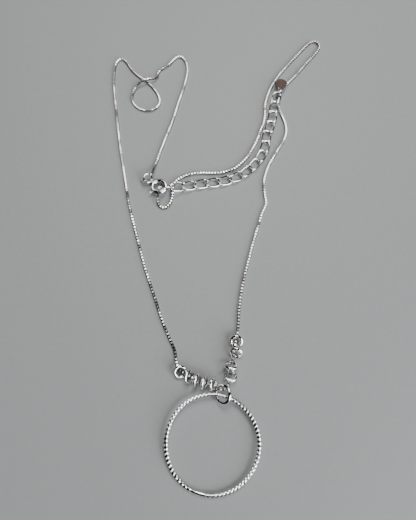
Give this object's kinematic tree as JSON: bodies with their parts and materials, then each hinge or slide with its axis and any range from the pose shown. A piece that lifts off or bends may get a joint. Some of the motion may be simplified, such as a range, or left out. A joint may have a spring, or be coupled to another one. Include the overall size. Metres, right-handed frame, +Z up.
{
  "type": "open circle pendant necklace",
  "caption": "Fine box chain necklace with an open circle of twisted wire, loose rings beside it, a spring ring clasp and an extender, laid flat.",
  "frame": {"origin": "middle of the laid necklace on the surface it lies on", "axes": "+Z up from the surface, +Y from the circle towards the clasp and the folded chain, +X to the right"},
  "size_m": [0.0665, 0.132, 0.0037],
  "materials": {
    "box_chain_silver": "polished box links, rhodium bright",
    "twisted_wire_silver": "polished twisted square wire, rhodium bright",
    "polished_ring_silver": "mirror polished round rings",
    "clasp_silver": "polished stamped and drawn tube",
    "plate_silver": "mirror polished flat plate",
    "link_silver": "polished round wire"
  },
  "bodies": {
    "necklace": {"chain_left": "box_chain_silver", "chain_right": "box_chain_silver", "pendant_ring": "twisted_wire_silver", "pendant_jump_ring": "polished_ring_silver", "left_spacer_1": "polished_ring_silver", "left_spacer_2": "polished_ring_silver", "left_spacer_3": "polished_ring_silver", "left_spacer_4": "polished_ring_silver", "left_spacer_5": "polished_ring_silver", "right_spacer_1": "polished_ring_silver", "right_spacer_2": "polished_ring_silver", "right_spacer_3": "polished_ring_silver", "right_spacer_4": "polished_ring_silver", "clasp_body": "clasp_silver", "left_end_ring": "link_silver", "clasp_tag": "plate_silver", "extender_ring": "link_silver", "extender_link_01": "link_silver", "extender_link_02": "link_silver", "extender_link_03": "link_silver", "extender_link_04": "link_silver", "extender_link_05": "link_silver", "extender_link_06": "link_silver", "extender_link_07": "link_silver", "extender_link_08": "link_silver", "extender_link_09": "link_silver", "extender_link_10": "link_silver", "extender_link_11": "link_silver", "extender_link_12": "link_silver", "extender_link_13": "link_silver", "extender_link_14": "link_silver", "extender_link_15": "link_silver", "tag_ring": "link_silver", "end_tag": "plate_silver"},
    "latch": {"clasp_latch": "clasp_silver"}
  },
  "joints": [
    {"name": "clasp_latch_draw", "type": "hinge", "parent": "necklace", "child": "latch", "pos_m": [-0.01707, 0.01242, 0.00112], "axis": [-0.0835, 0.0629, 0.9945], "range_deg": [0, 36], "stiffness_Nm_per_rad": 0.0004, "springref_deg": -17.19}
  ]
}
